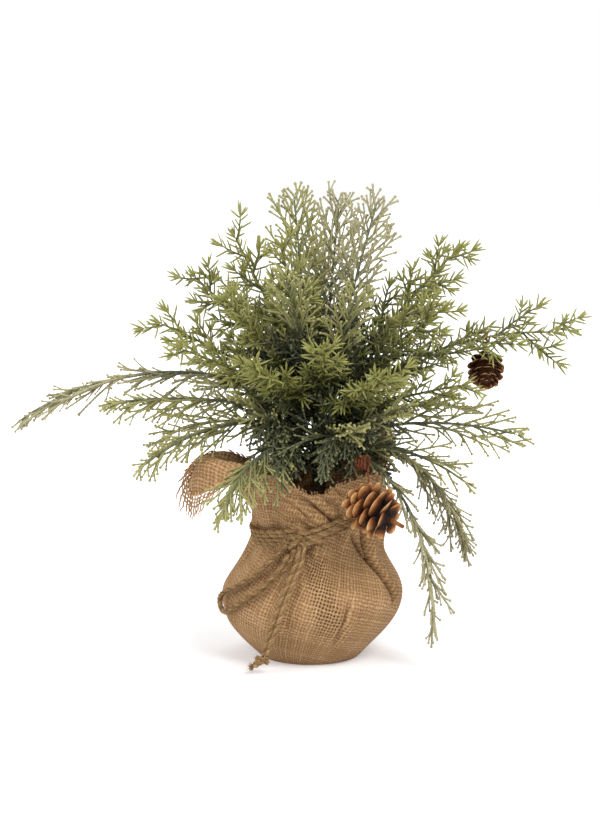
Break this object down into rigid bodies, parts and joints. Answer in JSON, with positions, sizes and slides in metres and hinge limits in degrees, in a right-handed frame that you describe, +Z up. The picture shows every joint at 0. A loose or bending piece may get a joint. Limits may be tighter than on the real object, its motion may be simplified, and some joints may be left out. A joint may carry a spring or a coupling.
{
  "type": "artificial tabletop tree",
  "caption": "Small artificial evergreen bush with cedar and needle sprays and pine cones, standing in a round burlap sack tied at the neck with twine.",
  "frame": {"origin": "centre of the flat base of the burlap sack, on the table", "axes": "+Z up, -Y towards the front with the twine knot and the front cone, +X to the right as seen from the front"},
  "size_m": [0.3836, 0.2211, 0.3029],
  "materials": {
    "burlap": "coarse open weave, natural tan",
    "twine": "twisted jute, hairy",
    "pot": "matt brown",
    "cement": "rough cast",
    "trunk": "matt brown",
    "floral_tape": "waxed crepe paper, dark green",
    "cedar": "grey-green with pale frosted tips",
    "needles": "olive green, slightly glossy",
    "front_cone": "dry, pale tan scales",
    "hanging_cone": "dry, dark brown scales with pale rims",
    "wire": "brown paper-wrapped florist wire"
  },
  "bodies": {
    "root": {"burlap_wrap": "burlap", "liner_pot": "pot", "ballast": "cement", "trunk": "trunk", "stem_tape": "floral_tape", "twine_wraps": "twine", "twine_knot": "twine", "twine_loop_outer": "twine", "twine_loop_inner": "twine", "twine_tail_left": "twine", "twine_tail_right": "twine", "twine_end_knot": "twine"},
    "cedar_top_back": {"cedar_top_back": "cedar"},
    "cedar_top_right": {"cedar_top_right": "cedar"},
    "cedar_top_left": {"cedar_top_left": "cedar"},
    "cedar_right": {"cedar_right": "cedar"},
    "cedar_right_low": {"cedar_right_low": "cedar"},
    "cedar_right_droop": {"cedar_right_droop": "cedar"},
    "cedar_right_hang": {"cedar_right_hang": "cedar"},
    "cedar_left_long": {"cedar_left_long": "cedar"},
    "cedar_left": {"cedar_left": "cedar"},
    "cedar_left_low": {"cedar_left_low": "cedar"},
    "cedar_front_left": {"cedar_front_left": "cedar"},
    "cedar_front_right": {"cedar_front_right": "cedar"},
    "cedar_front_low": {"cedar_front_low": "cedar"},
    "cedar_front_short": {"cedar_front_short": "cedar"},
    "cedar_centre_left": {"cedar_centre_left": "cedar"},
    "cedar_centre_right": {"cedar_centre_right": "cedar"},
    "cedar_back_high": {"cedar_back_high": "cedar"},
    "cedar_back_right": {"cedar_back_right": "cedar"},
    "cedar_back_left": {"cedar_back_left": "cedar"},
    "cedar_back_low": {"cedar_back_low": "cedar"},
    "cedar_side_right": {"cedar_side_right": "cedar"},
    "cedar_side_left": {"cedar_side_left": "cedar"},
    "needle_top_left": {"needle_top_left": "needles"},
    "needle_top_front": {"needle_top_front": "needles"},
    "needle_left_high": {"needle_left_high": "needles"},
    "needle_left_upper": {"needle_left_upper": "needles"},
    "needle_left_mid": {"needle_left_mid": "needles"},
    "needle_left_front": {"needle_left_front": "needles"},
    "needle_right_high": {"needle_right_high": "needles"},
    "needle_right_upper": {"needle_right_upper": "needles"},
    "needle_right_long": {"needle_right_long": "needles"},
    "needle_right_mid": {"needle_right_mid": "needles"},
    "needle_front": {"needle_front": "needles"},
    "needle_front_right": {"needle_front_right": "needles"},
    "needle_front_left": {"needle_front_left": "needles"},
    "needle_back_right": {"needle_back_right": "needles"},
    "needle_back": {"needle_back": "needles"},
    "needle_back_left": {"needle_back_left": "needles"},
    "front_cone": {"front_cone": "front_cone", "front_cone_pick": "wire"},
    "cone_hanger": {"cone_hanger": "wire"},
    "hanging_cone": {"hanging_cone": "hanging_cone"}
  },
  "joints": [
    {"name": "cedar_top_back_bend", "type": "hinge", "parent": "root", "child": "cedar_top_back", "pos_m": [0.00826, 0.00622, 0.1743], "axis": [0.9397, -0.342, 0], "range_deg": [-10, 8]},
    {"name": "cedar_top_right_bend", "type": "hinge", "parent": "root", "child": "cedar_top_right", "pos_m": [0.01147, -0.00369, 0.1743], "axis": [-0.5592, -0.829, 0], "range_deg": [-6, 8]},
    {"name": "cedar_top_left_turn", "type": "hinge", "parent": "root", "child": "cedar_top_left", "pos_m": [0.00084, 0.00418, 0.1771], "axis": [0.7714, -0.6246, 0.1219], "range_deg": [-8, 2]},
    {"name": "cedar_right_bend", "type": "hinge", "parent": "root", "child": "cedar_right", "pos_m": [0.01168, -0.00121, 0.14], "axis": [-0.2079, -0.9781, 0], "range_deg": [-5, 8]},
    {"name": "cedar_right_low_bend", "type": "hinge", "parent": "root", "child": "cedar_right_low", "pos_m": [0.01117, -0.00241, 0.1337], "axis": [-0.4226, -0.9063, 0], "range_deg": [-8, 10]},
    {"name": "cedar_right_droop_turn", "type": "hinge", "parent": "root", "child": "cedar_right_droop", "pos_m": [0.01173, -0.0006, 0.1323], "axis": [-0.6393, 0.0672, 0.766], "range_deg": [-8, 5]},
    {"name": "cedar_right_hang_turn", "type": "hinge", "parent": "root", "child": "cedar_right_hang", "pos_m": [0.0106, -0.0031, 0.1302], "axis": [-0.779, 0.5255, 0.342], "range_deg": [-12, 12]},
    {"name": "cedar_left_long_bend", "type": "hinge", "parent": "root", "child": "cedar_left_long", "pos_m": [0.00009, 0.00083, 0.1582], "axis": [0.1392, 0.9903, 0], "range_deg": [-10, 8]},
    {"name": "cedar_left_bend", "type": "hinge", "parent": "root", "child": "cedar_left", "pos_m": [0.00027, -0.00101, 0.1519], "axis": [-0.1736, 0.9848, 0], "range_deg": [-10, 8]},
    {"name": "cedar_left_low_bend", "type": "hinge", "parent": "root", "child": "cedar_left_low", "pos_m": [0.00076, -0.00256, 0.1442], "axis": [-0.4384, 0.8988, 0], "range_deg": [-3, 12]},
    {"name": "cedar_front_left_turn", "type": "hinge", "parent": "root", "child": "cedar_front_left", "pos_m": [0.00358, -0.006, 0.168], "axis": [0.3177, 0.7863, 0.5299], "range_deg": [-10, 4]},
    {"name": "cedar_front_right_turn", "type": "hinge", "parent": "root", "child": "cedar_front_right", "pos_m": [0.00841, -0.00597, 0.1659], "axis": [-0.3106, 0.7687, 0.5592], "range_deg": [-12, 10]},
    {"name": "cedar_front_low_bend", "type": "hinge", "parent": "root", "child": "cedar_front_low", "pos_m": [0.00281, -0.00511, 0.1281], "axis": [-0.848, 0.5299, 0], "range_deg": [-5, 12]},
    {"name": "cedar_front_short_bend", "type": "hinge", "parent": "root", "child": "cedar_front_short", "pos_m": [0.00788, -0.00579, 0.1323], "axis": [-0.9511, -0.309, 0], "range_deg": [-10, 12]},
    {"name": "cedar_centre_left_turn", "type": "hinge", "parent": "root", "child": "cedar_centre_left", "pos_m": [0.0017, -0.00415, 0.14], "axis": [0.3153, 0.3045, 0.8988], "range_deg": [-5, 12]},
    {"name": "cedar_centre_right_bend", "type": "hinge", "parent": "root", "child": "cedar_centre_right", "pos_m": [0.01012, -0.00427, 0.14], "axis": [-0.7193, -0.6947, 0], "range_deg": [-10, 5]},
    {"name": "cedar_back_high_bend", "type": "hinge", "parent": "root", "child": "cedar_back_high", "pos_m": [0.00577, 0.00643, 0.168], "axis": [0.9994, 0.0349, 0], "range_deg": [-12, 12]},
    {"name": "cedar_back_right_bend", "type": "hinge", "parent": "root", "child": "cedar_back_right", "pos_m": [0.00912, 0.005, 0.1498], "axis": [0.848, -0.5299, 0], "range_deg": [-12, 12]},
    {"name": "cedar_back_left_bend", "type": "hinge", "parent": "root", "child": "cedar_back_left", "pos_m": [0.00242, 0.00458, 0.1519], "axis": [0.788, 0.6157, 0], "range_deg": [-12, 12]},
    {"name": "cedar_back_low_bend", "type": "hinge", "parent": "root", "child": "cedar_back_low", "pos_m": [0.0066, 0.00576, 0.1302], "axis": [0.9945, -0.1045, 0], "range_deg": [-10, 12]},
    {"name": "cedar_side_right_bend", "type": "hinge", "parent": "root", "child": "cedar_side_right", "pos_m": [0.01144, 0.00265, 0.1379], "axis": [0.4384, -0.8988, 0], "range_deg": [-8, 12]},
    {"name": "cedar_side_left_bend", "type": "hinge", "parent": "root", "child": "cedar_side_left", "pos_m": [0.00055, 0.00243, 0.1337], "axis": [0.4067, 0.9135, 0], "range_deg": [-10, 12]},
    {"name": "needle_top_left_bend", "type": "hinge", "parent": "root", "child": "needle_top_left", "pos_m": [-0.00054, 0, 0.1722], "axis": [0, 1, 0], "range_deg": [-6, 10]},
    {"name": "needle_top_front_bend", "type": "hinge", "parent": "root", "child": "needle_top_front", "pos_m": [0.00213, -0.00532, 0.1722], "axis": [-0.809, 0.5878, 0], "range_deg": [-5, 6]},
    {"name": "needle_left_high_bend", "type": "hinge", "parent": "root", "child": "needle_left_high", "pos_m": [0, 0.00195, 0.168], "axis": [0.309, 0.9511, 0], "range_deg": [-10, 2]},
    {"name": "needle_left_upper_bend", "type": "hinge", "parent": "root", "child": "needle_left_upper", "pos_m": [0.00055, -0.00328, 0.1659], "axis": [-0.515, 0.8572, 0], "range_deg": [-6, 3]},
    {"name": "needle_left_mid_bend", "type": "hinge", "parent": "root", "child": "needle_left_mid", "pos_m": [-0.00006, -0.00042, 0.1638], "axis": [-0.0698, 0.9976, 0], "range_deg": [-8, 8]},
    {"name": "needle_left_front_bend", "type": "hinge", "parent": "root", "child": "needle_left_front", "pos_m": [0.00053, -0.00255, 0.1603], "axis": [-0.4226, 0.9063, 0], "range_deg": [-4, 6]},
    {"name": "needle_right_high_bend", "type": "hinge", "parent": "root", "child": "needle_right_high", "pos_m": [0.01227, 0.00111, 0.1701], "axis": [0.1736, -0.9848, 0], "range_deg": [-9, 12]},
    {"name": "needle_right_upper_bend", "type": "hinge", "parent": "root", "child": "needle_right_upper", "pos_m": [0.01171, -0.00254, 0.1638], "axis": [-0.4067, -0.9135, 0], "range_deg": [-12, 4]},
    {"name": "needle_right_long_bend", "type": "hinge", "parent": "root", "child": "needle_right_long", "pos_m": [0.01214, -0.00043, 0.1582], "axis": [-0.0698, -0.9976, 0], "range_deg": [-10, 10]},
    {"name": "needle_right_mid_bend", "type": "hinge", "parent": "root", "child": "needle_right_mid", "pos_m": [0.0111, -0.00294, 0.1519], "axis": [-0.5, -0.866, 0], "range_deg": [-6, 12]},
    {"name": "needle_front_bend", "type": "hinge", "parent": "root", "child": "needle_front", "pos_m": [0.00622, -0.00618, 0.1603], "axis": [-0.9994, -0.0349, 0], "range_deg": [-8, 12]},
    {"name": "needle_front_right_bend", "type": "hinge", "parent": "root", "child": "needle_front_right", "pos_m": [0.00882, -0.0053, 0.1519], "axis": [-0.8829, -0.4695, 0], "range_deg": [-10, 10]},
    {"name": "needle_front_left_bend", "type": "hinge", "parent": "root", "child": "needle_front_left", "pos_m": [0.00296, -0.00526, 0.154], "axis": [-0.866, 0.5, 0], "range_deg": [-12, 6]},
    {"name": "needle_back_right_bend", "type": "hinge", "parent": "root", "child": "needle_back_right", "pos_m": [0.01076, 0.00399, 0.1638], "axis": [0.6428, -0.766, 0], "range_deg": [-12, 12]},
    {"name": "needle_back_bend", "type": "hinge", "parent": "root", "child": "needle_back", "pos_m": [0.00664, 0.00604, 0.1582], "axis": [0.9945, -0.1045, 0], "range_deg": [-12, 8]},
    {"name": "needle_back_left_bend", "type": "hinge", "parent": "root", "child": "needle_back_left", "pos_m": [0.00217, 0.0049, 0.1638], "axis": [0.788, 0.6157, 0], "range_deg": [-12, 12]},
    {"name": "front_cone_lift", "type": "hinge", "parent": "root", "child": "front_cone", "pos_m": [0.0095, -0.00417, 0.126], "axis": [-0.766, -0.6428, 0], "range_deg": [-3, 18]},
    {"name": "cone_hanger_sway", "type": "hinge", "parent": "needle_right_long", "child": "cone_hanger", "pos_m": [0.11068, -0.00732, 0.20574], "axis": [0.9795, -0.0685, 0.1893], "range_deg": [-20, 20]},
    {"name": "hanging_cone_swing", "type": "hinge", "parent": "cone_hanger", "child": "hanging_cone", "pos_m": [0.11068, -0.00732, 0.19774], "axis": [0, 1, 0], "range_deg": [-20, 20]}
  ]
}
